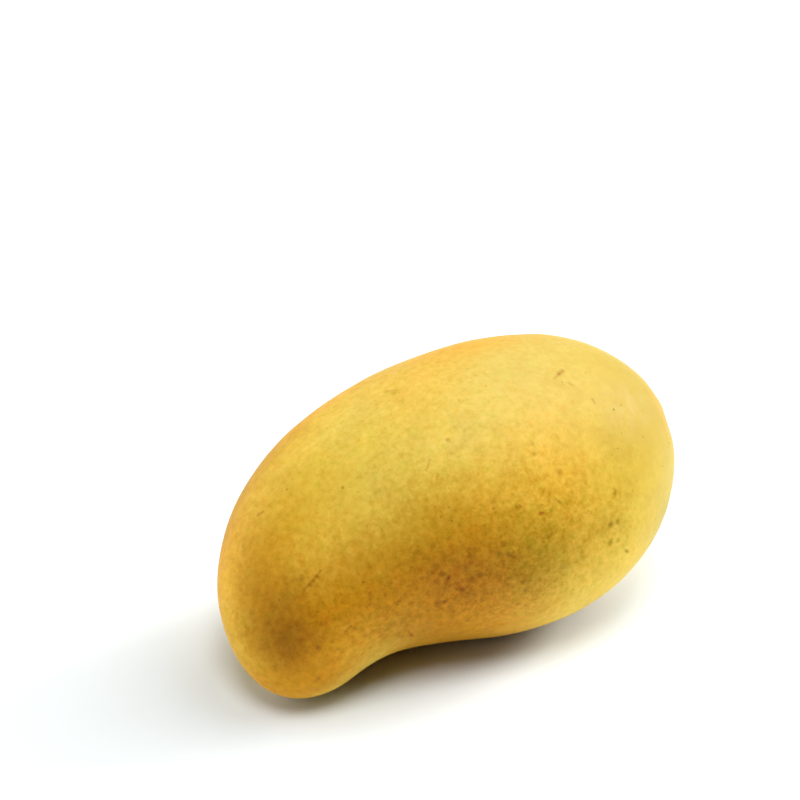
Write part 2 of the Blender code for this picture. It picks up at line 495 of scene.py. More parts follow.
BLEMISHES: tuple[Blemishes, ...] = (
    Blemishes(
        Stain.RUST,
        (
            Mark((0.375, 0.085, 0.489), 1.1, 0.50),
            Mark((0.137, 0.172, 0.395), 1.8, 0.35),
            Mark((0.114, 0.148, 0.182), 1.2, 0.45),
            Mark((0.312, 0.145, 0.248), 1.1, 0.55),
        ),
        (
            Scratch((0.717, 0.389, 0.966), (0.730, 0.401, 0.968), 0.95, 0.62),
            Scratch((0.702, 0.375, 0.964), (0.718, 0.390, 0.966), 0.60, 0.30),
            Scratch((0.565, 0.061, 0.660), (0.569, 0.060, 0.660), 0.65, 1.00),
            Scratch((0.757, 0.281, 0.901), (0.758, 0.267, 0.892), 0.50, 0.45),
            Scratch((0.303, 0.136, 0.278), (0.319, 0.152, 0.230), 0.60, 0.55),
            Scratch((0.377, 0.085, 0.500), (0.369, 0.086, 0.470), 0.60, 0.40),
            Scratch((0.388, 0.077, 0.465), (0.401, 0.070, 0.432), 0.80, 0.38),
        ),
    ),
    Blemishes(
        Stain.UMBER,
        (
            Mark((0.565, 0.428, 0.973), 0.7, 0.45),
            Mark((0.591, 0.198, 0.850), 1.1, 0.45),
            Mark((0.587, 0.173, 0.826), 1.0, 0.60),
            Mark((0.625, 0.115, 0.764), 1.5, 0.50),
            Mark((0.525, 0.089, 0.691), 1.4, 0.45),
            Mark((0.482, 0.123, 0.720), 1.2, 0.45),
            Mark((0.756, 0.027, 0.412), 1.0, 0.55),
            Mark((0.344, 0.104, 0.515), 1.1, 0.55),
            Mark((0.361, 0.095, 0.507), 1.3, 0.70),
            Mark((0.398, 0.072, 0.436), 1.4, 0.60),
            Mark((0.426, 0.059, 0.404), 1.2, 0.45),
            Mark((0.407, 0.073, 0.513), 1.3, 0.45),
            Mark((0.419, 0.072, 0.535), 1.2, 0.45),
            Mark((0.119, 0.278, 0.519), 1.2, 0.45),
            Mark((0.145, 0.250, 0.528), 1.0, 0.60),
            Mark((0.137, 0.249, 0.515), 0.9, 0.55),
            Mark((0.129, 0.249, 0.502), 0.8, 0.55),
            Mark((0.117, 0.157, 0.311), 1.2, 0.70),
        ),
        (
            Scratch((0.117, 0.253, 0.487), (0.154, 0.254, 0.545), 0.45, 0.48),
            Scratch((0.101, 0.537, 0.630), (0.111, 0.528, 0.644), 0.55, 0.60),
            Scratch((0.171, 0.142, 0.355), (0.183, 0.142, 0.369), 0.50, 0.55),
            Scratch((0.183, 0.142, 0.369), (0.193, 0.136, 0.350), 0.50, 0.45),
            Scratch((0.750, 0.024, 0.421), (0.763, 0.032, 0.400), 0.60, 0.50),
            Scratch((0.404, 0.615, 0.930), (0.420, 0.596, 0.940), 0.70, 0.40),
            Scratch((0.530, 0.090, 0.697), (0.539, 0.077, 0.676), 0.50, 0.35),
            Scratch((0.603, 0.072, 0.692), (0.611, 0.062, 0.676), 0.50, 0.40),
            Scratch((0.725, 0.347, 0.948), (0.731, 0.337, 0.942), 0.50, 0.40),
        ),
    ),
    Blemishes(
        Stain.MOSS,
        (
            Mark((0.673, 0.083, 0.715), 1.1, 0.45),
            Mark((0.733, 0.062, 0.649), 1.2, 0.50),
            Mark((0.639, 0.073, 0.700), 1.1, 0.50),
            Mark((0.589, 0.058, 0.663), 1.0, 0.65),
            Mark((0.609, 0.066, 0.682), 1.1, 0.45),
            Mark((0.623, 0.058, 0.670), 0.9, 0.45),
            Mark((0.730, 0.029, 0.553), 1.5, 0.95),
            Mark((0.713, 0.024, 0.552), 1.5, 1.00),
            Mark((0.711, 0.012, 0.486), 1.6, 0.75),
            Mark((0.730, 0.018, 0.481), 1.2, 0.55),
            Mark((0.574, 0.029, 0.579), 1.3, 0.60),
            Mark((0.532, 0.031, 0.554), 1.3, 0.55),
            Mark((0.565, 0.022, 0.547), 1.3, 0.50),
            Mark((0.649, 0.010, 0.528), 1.2, 0.45),
            Mark((0.602, 0.003, 0.450), 1.2, 0.50),
            Mark((0.473, 0.051, 0.548), 1.3, 0.50),
            Mark((0.516, 0.021, 0.432), 1.2, 0.45),
            Mark((0.522, 0.021, 0.390), 1.4, 0.65),
            Mark((0.092, 0.274, 0.468), 1.9, 0.35),
            Mark((0.015, 0.326, 0.316), 1.3, 0.45),
            Mark((0.290, 0.122, 0.344), 3.0, 0.28),
            Mark((0.263, 0.129, 0.328), 2.6, 0.20),
            Mark((0.226, 0.191, 0.563), 2.8, 0.18),
            Mark((0.412, 0.588, 0.935), 1.5, 0.55),
        ),
        (
            Scratch((0.736, 0.066, 0.656), (0.731, 0.056, 0.638), 0.75, 0.55),
            Scratch((0.314, 0.153, 0.606), (0.329, 0.153, 0.626), 0.50, 0.30),
        ),
    ),
    Blemishes(
        Stain.SLATE,
        (
            Mark((0.445, 0.316, 0.879), 0.9, 0.60),
            Mark((0.353, 0.093, 0.404), 1.1, 0.45),
            Mark((0.367, 0.088, 0.392), 1.2, 0.50),
            Mark((0.492, 0.042, 0.545), 1.2, 0.45),
        ),
        (
            Scratch((0.351, 0.095, 0.392), (0.372, 0.086, 0.398), 0.60, 0.45),
            Scratch((0.400, 0.293, 0.836), (0.384, 0.273, 0.811), 0.35, 0.50),
            Scratch((0.473, 0.053, 0.555), (0.495, 0.040, 0.539), 0.60, 0.40),
        ),
    ),
)


class Socket(Enum):
    """The kinds of value that a node group takes in or gives out."""

    COLOUR = "NodeSocketColor"
    FLOAT = "NodeSocketFloat"
    GEOMETRY = "NodeSocketGeometry"
    INT = "NodeSocketInt"
    MATERIAL = "NodeSocketMaterial"
    VECTOR = "NodeSocketVector"


class NodeGroup:
    """A node group that is being laid out, from named inputs to one result."""

    KIND = "ShaderNodeTree"

    def __init__(self, name: str, inputs: dict[str, Socket], result: str, kind: Socket) -> None:
        """Makes the group.

        Args:
            name: the group's name.
            inputs: the kind of each input, by name.
            result: the name of its result.
            kind: the kind of its result.
        """
        self.tree = bpy.data.node_groups.new(name, self.KIND)
        for label, socket in inputs.items():
            self.tree.interface.new_socket(name=label, in_out="INPUT", socket_type=socket.value)
        self.tree.interface.new_socket(name=result, in_out="OUTPUT", socket_type=kind.value)
        self.sheet = NodeSheet(self.tree)
        self.given = self.sheet.add("NodeGroupInput").outputs

    def value(self, name: str) -> Term:
        """One of the group's inputs as a number to reckon with."""
        return Term(self.sheet, self.given[name])

    def close(self, result: Any) -> bpy.types.NodeTree:
        """Joins up the result and gives the finished tree."""
        self.sheet.add("NodeGroupOutput", None, {0: result})
        return self.tree


class ShapeTree(NodeGroup):
    """A Geometry Nodes tree that is run once on a piece, with its sizes as named inputs."""

    KIND = "GeometryNodeTree"
    SOCKETS = {
        float: Socket.FLOAT,
        int: Socket.INT,
        Vector: Socket.VECTOR,
        bpy.types.Material: Socket.MATERIAL,
    }

    def __init__(self, name: str, values: dict[str, Any]) -> None:
        """Makes the tree, which also takes in and gives out the geometry.

        Args:
            name: the tree's name.
            values: its inputs by name.
        """
        kinds = {label: self.SOCKETS[type(value)] for label, value in values.items()}
        super().__init__(name, {"Geometry": Socket.GEOMETRY, **kinds}, "Geometry", Socket.GEOMETRY)
        self.values = values

    def hang_on(self, piece: bpy.types.Object) -> None:
        """Adds the tree to a piece as a modifier and sets its inputs.

        Args:
            piece: the piece.
        """
        modifier = piece.modifiers.new(self.tree.name, "NODES")
        modifier.node_group = self.tree
        for item in self.tree.interface.items_tree:
            if item.in_out == "INPUT" and item.name in self.values:
                modifier[item.identifier] = self.values[item.name]


def line_distance() -> bpy.types.NodeTree:
    """Lays out the node group that tells how far a point is from a short line.

    Returns:
        The group's tree.
    """
    ends = dict.fromkeys(("Point", "Start", "Run"), Socket.VECTOR)
    group = NodeGroup("line_distance", ends, "Distance", Socket.FLOAT)
    sheet, given, run = group.sheet, group.given, group.given["Run"]
    offset = sheet.vector("SUBTRACT", given["Point"], given["Start"])
    along = (sheet.dot(offset, run) / (sheet.dot(run, run) + TINY_AREA)).clamped()
    return group.close(sheet.length(sheet.vector("SUBTRACT", offset, sheet.scaled(run, along))))


def soft_patch(line: bpy.types.NodeTree) -> bpy.types.NodeTree:
    """Lays out the node group that puts one patch over a colour.

    Args:
        line: the group that measures the distance from a line.

    Returns:
        The group's tree.
    """
    inputs = {
        **dict.fromkeys(("Colour", "Tint"), Socket.COLOUR),
        **dict.fromkeys(("Point", "Start", "Run"), Socket.VECTOR),
        **dict.fromkeys(("Reach", "Strength", "Fray"), Socket.FLOAT),
    }
    group = NodeGroup("soft_patch", inputs, "Colour", Socket.COLOUR)
    sheet, given, reach = group.sheet, group.given, group.value("Reach")
    ends = {name: given[name] for name in ("Point", "Start", "Run")}
    away = sheet.term(sheet.add("ShaderNodeGroup", {"node_tree": line}, ends))
    share = (away + reach * group.value("Fray")).step(reach, 0.0) * group.value("Strength")
    return group.close(sheet.blend(share, given["Colour"], given["Tint"]))


@dataclass(frozen=True)
class Zone:
    """A part of the skin where the fine pattern is stronger or weaker than elsewhere.

    Args:
        start: one end of its middle line, as shares of the fruit's box.
        end: the other end of that line.
        reach: how far it spreads from the line, in millimetres.
        level: how strong the pattern is in it, as a multiple of its layers' own strengths.
    """

    start: Triple
    end: Triple
    reach: float
    level: float

    def as_patch(self) -> Patch:
        """The same part of the skin as a patch, with the level as its shade of grey."""
        return Patch("zone", self.start, self.end, self.reach, (self.level,) * 3, 1.0)


ZONES: tuple[Zone, ...] = (
    Zone((0.11, 0.49, 0.59), (0.54, -0.02, 0.42), 16.0, 0.57),
    Zone((0.11, 0.28, 0.35), (0.36, 0.01, 0.47), 23.0, 0.95),
    Zone((0.44, -0.01, 0.47), (0.56, -0.09, 0.63), 29.0, 1.22),
    Zone((0.34, 0.15, 0.81), (0.38, 0.07, 0.86), 19.0, 0.73),
    Zone((0.74, 0.16, 0.60), (0.73, 0.10, 0.54), 11.0, 1.06),
    Zone((0.64, 0.61, 1.01), (0.62, 0.36, 1.02), 15.0, 0.22),
    Zone((0.87, 0.35, 0.80), (0.95, 0.20, 0.39), 36.0, 0.05),
)


@dataclass(frozen=True)
class SkinColour:
    """The colour of the skin at any point, which its dots share.

    Args:
        place: the fruit's frame.
        patches: its soft patches of colour, some partly painted shade and sheen, from the lowest layer to the
            topmost.
        blemishes: its small marks and scratches, in groups of one colour.
        zones: where its fine pattern is stronger or weaker.
        ground: the colour between the patches.
        brightest: the most light that red, green or blue gives back.
        drift_grain: width of the broad drifts of colour.
        drift_warm: how much warmer they go.
        drift_pale: how much paler they go.
        edge_grain: width of the blots that fray a patch's edge.
        plain_level: strength of the fine pattern outside the zones.
        shade: what the darkest mottling leaves of red, green and blue.
        shine: what the palest mottling makes of them.
        warmth: what the warmest mottling makes of them.
        greenness: what the greenest mottling makes of them.
        mottle_grain: width of the pale and dark mottling.
        mottle_share: how much of the darkest mottling shows.
        hue_grain: width of the warm and green mottling.
        hue_share: how much of it shows.
        hue_shift: how far away in the noise it is read, so that it goes its own way.
        spot_widths: spacing of the two layers of soft spots.
        spot_share: how much of them shows.
        spot_grain: how finely their outline wanders.
        spot_wander: how far it wanders, in grains.
        stroke_grain: width of the short pale strokes.
        stroke_stretch: their width as a share of their length, which runs along the fruit.
        stroke_turns: how each of their layers is turned in the noise, so that they differ, in radians.
        stroke_level: the strength of the fine pattern at which they start.
        stroke_rise: how fast they grow above it.
        stroke_share: how much of them shows.
        mark_grain: how finely the outline of marks and scratches wanders.
        mark_wander: how far it wanders, in grains.
        mark_reach: how far a mark spreads, in its widths.
        scratch_reach: how far a scratch spreads, in its widths.
    """

    place: FruitFrame
    patches: tuple[Patch, ...] = PATCHES
    blemishes: tuple[Blemishes, ...] = BLEMISHES
    zones: tuple[Zone, ...] = ZONES
    ground: Tint = Tint.GOLD
    brightest: float = 0.98
    drift_grain: float = 0.022
    drift_warm: float = 0.22
    drift_pale: float = 0.20
    edge_grain: float = 0.0055
    plain_level: float = 0.37
    shade: Rgb = (0.74, 0.68, 0.12)
    shine: Rgb = (1.16, 1.20, 1.60)
    warmth: Rgb = (1.03, 0.88, 0.60)
    greenness: Rgb = (0.86, 0.98, 0.70)
    mottle_grain: float = 0.0016
    mottle_share: float = 0.9
    hue_grain: float = 0.0024
    hue_share: float = 0.6
    hue_shift: Triple = (0.3, 0.1, 0.2)
    spot_widths: tuple[float, ...] = (0.0012, 0.0019)
    spot_share: float = 0.7
    spot_grain: float = 0.0009
    spot_wander: float = 1.6
    stroke_grain: float = 0.0007
    stroke_stretch: float = 0.22
    stroke_turns: tuple[float, ...] = (-0.65, 0.85)
    stroke_level: float = 0.6
    stroke_rise: float = 1.6
    stroke_share: float = 0.58
    mark_grain: float = 0.0006
    mark_wander: float = 0.7
    mark_reach: float = 0.85
    scratch_reach: float = 1.05

    def build(self) -> bpy.types.NodeTree:
        """Lays out the colour as a node group, from a point to a colour.

        Returns:
            The group's tree.
        """
        group = NodeGroup("skin_colour", {"Point": Socket.VECTOR}, "Colour", Socket.COLOUR)
        sheet, point = group.sheet, group.given["Point"]
        line = line_distance()
        patch_group = soft_patch(line)
        fray = sheet.noise(point, self.edge_grain, 4.0, 0.62) - 0.5
        colour: Any = self._ground(sheet, point)
        for patch in self.patches:
            colour = self._patched(sheet, patch_group, point, colour, patch, fray)
        level: Any = rgba((self.plain_level,) * 3)
        for zone in self.zones:
            level = self._patched(sheet, patch_group, point, level, zone.as_patch(), fray)
        strength = sheet.part(level, Axis.X)
        mottled = self._mottled(sheet, point, colour, strength)
        stroked = self._stroked(sheet, point, mottled, strength)
        return group.close(self._marked(sheet, line, point, stroked))

    def _ground(self, sheet: NodeSheet, point: Any) -> Term:
        """Lays out the colour between the patches, which drifts a little warmer and paler.

        Args:
            sheet: the group's nodes.
            point: the point in metres.

        Returns:
            The colour.
        """
        drift = sheet.noise(point, self.drift_grain, 3.0, 0.5)
        warm = drift.step(0.52, 0.72, 0.0, self.drift_warm)
        pale = drift.step(0.48, 0.28, 0.0, self.drift_pale)
        return sheet.blend(pale, sheet.blend(warm, rgba(self.ground), rgba(Tint.AMBER)), rgba(Tint.PALE))

    def _patched(
        self, sheet: NodeSheet, group: bpy.types.NodeTree, point: Any, colour: Any, patch: Patch, fray: Term
    ) -> Term:
        """Lays one patch over a colour.

        Args:
            sheet: the group's nodes.
            group: the patch's node group.
            point: the point in metres.
            colour: the colour under the patch.
            patch: the patch.
            fray: how far a wholly frayed edge is moved here, as a share of its reach.

        Returns:
            The colour with the patch.
        """
        start = self.place.place(patch.start)
        inputs = {
            "Colour": colour,
            "Tint": rgba(patch.tint),
            "Point": point,
            "Start": start,
            "Run": self.place.place(patch.end) - start,
            "Reach": patch.reach * MILLIMETRE,
            "Strength": patch.strength,
            "Fray": fray * patch.frayed,
        }
        return sheet.term(sheet.add("ShaderNodeGroup", {"node_tree": group}, inputs), "Colour")

    def _mottled(self, sheet: NodeSheet, point: Any, colour: Any, strength: Term) -> Term:
        """Adds the mottling and the soft spots to a colour.

        Args:
            sheet: the group's nodes.
            point: the point in metres.
            colour: the colour under them.
            strength: how strong the fine pattern is here.

        Returns:
            The mottled colour.
        """
        hue_strength = strength**0.5 * self.hue_share
        mottle = sheet.noise(point, self.mottle_grain, 3.0, 0.70)
        hue = sheet.noise(sheet.vector("ADD", point, self.hue_shift), self.hue_grain, 2.0, 0.6)
        layers = [
            (mottle.step(0.60, 0.26) * self.mottle_share * strength, self.shade),
            (mottle.step(0.50, 0.78) * strength, self.shine),
            (hue.step(0.50, 0.72) * hue_strength, self.warmth),
            (hue.step(0.50, 0.28) * hue_strength, self.greenness),
        ]
        moved = self._wandering(sheet, point, self.spot_grain, self.spot_wander)
        for width in self.spot_widths:
            cell = sheet.cells(moved, width)
            chance = sheet.part(cell.outputs["Color"], Axis.X).step(0.15, 1.0)
            spot = sheet.term(cell, "Distance").step(0.56, 0.10)
            layers.append((spot * chance * self.spot_share * strength, self.shade))
        for share, tone in layers:
            colour = sheet.blend(share, colour, rgba(tone), "MULTIPLY")
        return colour

    def _stroked(self, sheet: NodeSheet, point: Any, colour: Any, strength: Term) -> Term:
        """Adds short pale strokes along the fruit, where the fine pattern is strongest.

        Args:
            sheet: the group's nodes.
            point: the point in metres.
            colour: the colour under them.
            strength: how strong the fine pattern is here.

        Returns:
            The colour with the strokes.
        """
        where = (strength - self.stroke_level).clamped() * self.stroke_rise
        stretch = (self.stroke_stretch, 1.0, 1.0)
        for turn in self.stroke_turns:
            inputs = {"Vector": point, "Rotation": (0.0, turn, 0.0), "Scale": stretch}
            turned = sheet.add("ShaderNodeMapping", None, inputs).outputs[0]
            stroke = sheet.noise(turned, self.stroke_grain, 2.0, 0.5).step(0.56, 0.72)
            colour = sheet.blend(stroke * where * self.stroke_share, colour, rgba(self.shine), "MULTIPLY")
        return sheet.vector("MINIMUM", colour, (self.brightest,) * 3)

    def _wandering(self, sheet: NodeSheet, point: Any, grain: float, reach: float) -> Term:
        """Moves a point a little at random, so that round shapes drawn by it come out uneven.

        Args:
            sheet: the group's nodes.
            point: the point in metres.
            grain: the width over which the move changes, in metres.
            reach: the largest move, in grains.

        Returns:
            The moved point.
        """
        noise = sheet.add("ShaderNodeTexNoise", None, {"Vector": point, "Scale": 1.0 / grain})
        shift = sheet.vector("SUBTRACT", noise.outputs["Color"], (0.5, 0.5, 0.5))
        return sheet.vector("ADD", point, sheet.scaled(shift, grain * reach))

    def _marked(self, sheet: NodeSheet, line: bpy.types.NodeTree, point: Any, colour: Any) -> Term:
        """Adds the marks and scratches to a colour.

        Args:
            sheet: the group's nodes.
            line: the group that measures the distance from a line.
            point: the point in metres.
            colour: the colour under them.

        Returns:
            The marked colour.
        """
        moved = self._wandering(sheet, point, self.mark_grain, self.mark_wander)
        for blemishes in self.blemishes:
            total: Any = 0.0
            for mark in blemishes.marks:
                ends = {0: moved, 1: self.place.place(mark.place)}
                away = sheet.add("ShaderNodeVectorMath", {"operation": "DISTANCE"}, ends)
                reach = mark.width * MILLIMETRE * self.mark_reach
                total = sheet.term(away, "Value").step(reach, 0.0, 0.0, mark.strength) + total
            for scratch in blemishes.scratches:
                start = self.place.place(scratch.start)
                ends = {"Point": moved, "Start": start, "Run": self.place.place(scratch.end) - start}
                away = sheet.add("ShaderNodeGroup", {"node_tree": line}, ends)
                reach = scratch.width * MILLIMETRE * self.scratch_reach
                total = sheet.term(away).step(reach, 0.0, 0.0, scratch.strength) + total
            colour = sheet.blend(total, colour, rgba(blemishes.stain.value), "MULTIPLY")
        return colour


class Coat:
    """A material that is being laid out."""

    def __init__(self, name: str) -> None:
        """Makes the material with its main shader.

        Args:
            name: the material's name.
        """
        self.material = bpy.data.materials.new(name)
        self.material.use_nodes = True
        self.sheet = NodeSheet(self.material.node_tree)

    def point(self) -> bpy.types.NodeSocket:
        """The point on the piece, in metres."""
        return self.sheet.add("ShaderNodeTexCoord").outputs["Object"]

    def skin_colour(self, colour: bpy.types.NodeTree, point: Any) -> bpy.types.NodeSocket:
        """The skin's colour at a point."""
        return self.sheet.add("ShaderNodeGroup", {"node_tree": colour}, {"Point": point}).outputs[0]

    def bump(self, height: Term, depth: float, strength: float) -> bpy.types.NodeSocket:
        """The shader's normal over a fine relief."""
        inputs = {"Strength": strength, "Distance": depth, "Height": height}
        return self.sheet.add("ShaderNodeBump", None, inputs).outputs[0]

    def close(self, inputs: dict[int | str, Any]) -> bpy.types.Material:
        """Sets the shader's inputs or joins them up, and gives the finished material."""
        self.sheet.join(self.material.node_tree.nodes["Principled BSDF"], inputs)
        return self.material


@dataclass(frozen=True)
class SkinFinish:
    """The mango's satin skin.

    Args:
        colour: the node group of its colour.
        pore_width: width of the cells of its fine relief.
        grit_width: width of the grain over them.
        relief_depth: depth of that relief.
        relief_strength: how much of it shows.
        sheen_grain: width of the duller and glossier parts.
        sheen: the roughness of the glossiest and of the dullest.
        shine: how strongly its surface shines.
        glow: how much of its light comes from below the surface.
        glow_depth: how deep that light goes.
        glow_tint: how deep red, green and blue go, as shares of that.
    """

    colour: bpy.types.NodeTree
    pore_width: float = 0.0014
    grit_width: float = 0.0007
    relief_depth: float = 0.00012
    relief_strength: float = 0.35
    sheen_grain: float = 0.003
    sheen: tuple[float, float] = (0.46, 0.56)
    shine: float = 0.11
    glow: float = 0.05
    glow_depth: float = 0.002
    glow_tint: Rgb = (1.0, 0.5, 0.12)

    def build(self) -> bpy.types.Material:
        """Lays out the skin's material.

        Returns:
            The material.
        """
        coat = Coat("mango_skin_satin")
        sheet, point = coat.sheet, coat.point()
        pore = sheet.term(sheet.cells(point, self.pore_width), "Distance").step(0.05, 0.30)
        height = pore * 0.4 + sheet.noise(point, self.grit_width, 3.0, 0.6) * 0.6
        inputs = {
            "Base Color": coat.skin_colour(self.colour, point),
            "Roughness": sheet.noise(point, self.sheen_grain, 3.0).step(0.3, 0.7, *self.sheen),
            "Normal": coat.bump(height, self.relief_depth, self.relief_strength),
            "Specular IOR Level": self.shine,
            "Subsurface Weight": self.glow,
            "Subsurface Scale": self.glow_depth,
            "Subsurface Radius": self.glow_tint,
        }
        return coat.close(inputs)


@dataclass(frozen=True)
class StemFinish:
    """The dry, nearly black wood of the stem stub.

    Args:
        bark: the colour of its hollows.
        ash: the colour of its ridges.
        fissure: width of one ridge.
        relief_depth: depth of its fine relief.
        relief_strength: how much of that shows.
        sheen: the roughness of the hollows and of the ridges.
        shine: how strongly its surface shines.
    """

    bark: Rgb = (0.018, 0.010, 0.006)
    ash: Rgb = (0.110, 0.080, 0.055)
    fissure: float = 0.0009
    relief_depth: float = 0.0003
    relief_strength: float = 0.8
    sheen: tuple[float, float] = (0.62, 0.92)
    shine: float = 0.25

    def build(self) -> bpy.types.Material:
        """Lays out the wood's material.

        Returns:
            The material.
        """
        coat = Coat("stem_stub_wood")
        sheet = coat.sheet
        crust = sheet.noise(coat.point(), self.fissure, 5.0, 0.7)
        inputs = {
            "Base Color": sheet.blend(crust.step(0.50, 0.74), rgba(self.bark), rgba(self.ash)),
            "Roughness": crust.step(0.4, 0.7, *self.sheen),
            "Normal": coat.bump(crust, self.relief_depth, self.relief_strength),
            "Specular IOR Level": self.shine,
        }
        return coat.close(inputs)


@dataclass(frozen=True)
class SpeckFinish:
    """The corky dots of the skin, each a darker shade of the skin that it sits on.

    Args:
        colour: the node group of the skin's colour.
        light: what the palest dots keep of it.
        dark: what the darkest dots keep of it.
        grain: how far apart pale and dark dots lie.
        sheen: their roughness.
        shine: how strongly their surface shines.
    """

    colour: bpy.types.NodeTree
    light: Rgb = (0.94, 0.92, 0.80)
    dark: Rgb = (0.72, 0.65, 0.48)
    grain: float = 0.0031
    sheen: float = 0.75
    shine: float = 0.15

    def build(self) -> bpy.types.Material:
        """Lays out the dots' material.

        Returns:
            The material.
        """
        coat = Coat("mango_skin_cork")
        sheet, point = coat.sheet, coat.point()
        depth = sheet.noise(point, self.grain, 1.0).step(0.46, 0.72)
        keep = sheet.blend(depth, rgba(self.light), rgba(self.dark))
        colour = sheet.blend(1.0, coat.skin_colour(self.colour, point), keep, "MULTIPLY")
        inputs = {"Base Color": colour, "Roughness": self.sheen, "Specular IOR Level": self.shine}
        return coat.close(inputs)


@dataclass(frozen=True)
class FloorFinish:
    """A matt, nearly white floor.

    Args:
        shade: its colour.
        sheen: its roughness.
        shine: how strongly its surface shines.
    """

    shade: Rgb = (0.665, 0.700, 0.702)
    sheen: float = 0.95
    shine: float = 0.1

    def build(self) -> bpy.types.Material:
        """Lays out the floor's material.

        Returns:
            The material.
        """
        inputs = {
            "Base Color": rgba(self.shade),
            "Roughness": self.sheen,
            "Specular IOR Level": self.shine,
        }
        return Coat("studio_floor_matt").close(inputs)


def new_object(name: str, data: Any) -> bpy.types.Object:
    """Puts a mesh, a light or a camera in the scene at the origin.

    Args:
        name: the object's name.
        data: what it holds.

    Returns:
        The object.
    """
    thing = bpy.data.objects.new(name, data)
    bpy.context.scene.collection.objects.link(thing)
    return thing


def settle(piece: bpy.types.Object, material: bpy.types.Material) -> None:
    """Works a piece's modifiers into its mesh and gives it its finish.

    Args:
        piece: the piece.
        material: the finish.
    """
    graph = bpy.context.evaluated_depsgraph_get()
    graph.update()
    mesh = bpy.data.meshes.new_from_object(piece.evaluated_get(graph), depsgraph=graph)
    mesh.name = piece.name
    piece.modifiers.clear()
    piece.data = mesh
    mesh.materials.clear()
    mesh.materials.append(material)
    mesh.shade_smooth()


@dataclass
class PackedPiece:
    """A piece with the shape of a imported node, divided finer and with a fine relief pressed in.

    Args:
        place: the fruit's frame.
        material: its finish.
        levels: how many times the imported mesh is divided.
    """

    NODE = ""
    NAME = ""
    DOUBLES_WITHIN = 1e-6
    FLAT_WITHIN = math.radians(30)
    SQUARE_WITHIN = math.radians(50)

    place: FruitFrame
    material: bpy.types.Material
    levels: int = 2

    def build(self) -> bpy.types.Object:
        """Makes the piece.

        Returns:
            The piece's object.
        """
        mesh = self._packed_copy()
        piece = new_object(self.NAME, mesh)
        rounding = piece.modifiers.new("rounding", "SUBSURF")
        rounding.levels = rounding.render_levels = self.levels
        self.relief(mesh).hang_on(piece)
        settle(piece, self.material)
        return piece

    def relief(self, mesh: bpy.types.Mesh) -> ShapeTree:
        """Lays out the tree that presses the relief in, which each kind of piece has its own of."""
        raise NotImplementedError

    def _packed_copy(self) -> bpy.types.Mesh:
        """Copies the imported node's mesh, with its doubled points merged and its triangles paired.

        Returns:
            The copy, without materials.
        """
        work = bmesh.new()
        work.from_mesh(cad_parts[self.NODE].data)
        bmesh.ops.remove_doubles(work, verts=work.verts, dist=self.DOUBLES_WITHIN)
        bmesh.ops.join_triangles(
            work,
            faces=work.faces,
            angle_face_threshold=self.FLAT_WITHIN,
            angle_shape_threshold=self.SQUARE_WITHIN,
        )
        bmesh.ops.recalc_face_normals(work, faces=work.faces)
        mesh = bpy.data.meshes.new(self.NAME)
        work.to_mesh(mesh)
        work.free()
        mesh.materials.clear()
        mesh.shade_smooth()
        return mesh


